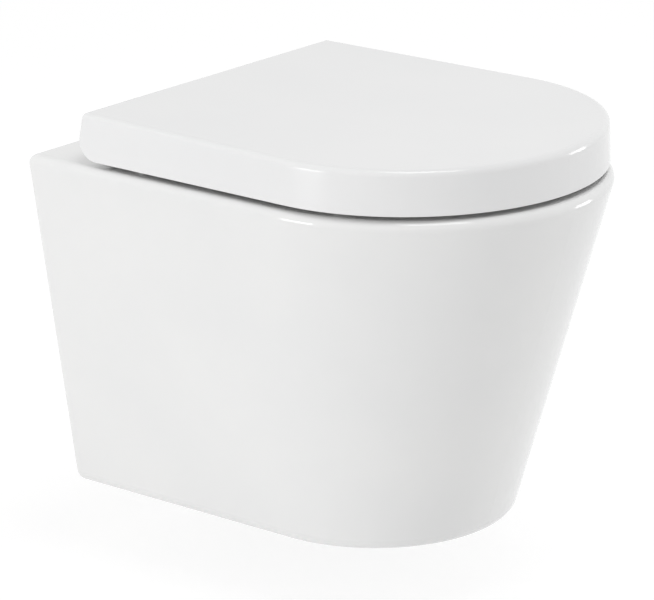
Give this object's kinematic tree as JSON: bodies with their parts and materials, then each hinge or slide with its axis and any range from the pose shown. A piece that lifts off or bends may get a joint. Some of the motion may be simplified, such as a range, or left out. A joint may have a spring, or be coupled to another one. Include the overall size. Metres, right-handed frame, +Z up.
{
  "type": "wall hung toilet",
  "caption": "White wall hung toilet pan with a tapered D-shaped body, a wrap-over soft-closing lid, a seat ring on lift-off hinges and concealed wall fixings.",
  "frame": {"origin": "midway between the two wall studs, in the plane of the wall", "axes": "+Z up, +Y into the wall along the studs, so the user sits facing -Y; +X completes the right-handed frame"},
  "size_m": [0.3778, 0.4773, 0.3763],
  "materials": {
    "china": "smooth white vitreous glaze",
    "lid_white": "polished white urea moulding",
    "seat_white": "polished white urea moulding",
    "buffer_white": "soft matt white rubber",
    "rubber": "matt black rubber",
    "hinge_grey": "satin light grey plastic",
    "button_grey": "matt grey plastic",
    "damper_black": "matt black plastic",
    "satin_steel": "satin stainless steel",
    "zinc_steel": "bright zinc plated steel",
    "nylon": "natural white nylon"
  },
  "bodies": {
    "pan": {"pan": "china", "pan_deck": "china", "pan_bowl": "china", "pan_trap": "china", "pan_web": "china", "wall_anchor_left": "nylon", "wall_anchor_right": "nylon", "clamp_jaw_left": "zinc_steel", "clamp_jaw_right": "zinc_steel", "clamp_screw_left": "zinc_steel", "clamp_screw_right": "zinc_steel", "base_pad_left": "rubber", "base_pad_right": "rubber", "base_plate_left": "satin_steel", "base_plate_right": "satin_steel", "hinge_post_left": "satin_steel", "hinge_post_right": "satin_steel", "fixing_screw_left": "satin_steel", "fixing_screw_right": "satin_steel", "expansion_plug_left": "rubber", "expansion_plug_right": "rubber", "cone_nut_left": "nylon", "cone_nut_right": "nylon"},
    "hinges": {"hinge_body_left": "hinge_grey", "hinge_body_right": "hinge_grey", "lid_damper_case": "damper_black", "seat_damper_case": "damper_black"},
    "button_left": {"release_button_left": "button_grey"},
    "button_right": {"release_button_right": "button_grey"},
    "seat": {"seat": "seat_white", "seat_buffers": "buffer_white", "seat_pin": "satin_steel", "seat_damper_rotor": "damper_black"},
    "lid": {"lid": "lid_white", "lid_buffers": "buffer_white", "lid_damper_rotor": "damper_black", "lid_pin": "satin_steel"}
  },
  "joints": [
    {"name": "lift_off", "type": "slide", "parent": "pan", "child": "hinges", "axis": [0, 0, 1], "range_m": [0, 0.02]},
    {"name": "seat_hinge", "type": "hinge", "parent": "hinges", "child": "seat", "pos_m": [0, -0.08, 0.115], "axis": [-1, 0, 0], "range_deg": [0, 95]},
    {"name": "lid_hinge", "type": "hinge", "parent": "seat", "child": "lid", "pos_m": [0, -0.08, 0.115], "axis": [1, 0, 0], "range_deg": [-95, 0]},
    {"name": "press_left", "type": "slide", "parent": "hinges", "child": "button_left", "axis": [0, 1, 0], "range_m": [0, 0.002], "stiffness_N_per_m": 600, "springref_m": -0.001},
    {"name": "press_right", "type": "slide", "parent": "hinges", "child": "button_right", "axis": [0, 1, 0], "range_m": [0, 0.002], "stiffness_N_per_m": 600, "springref_m": -0.001}
  ]
}
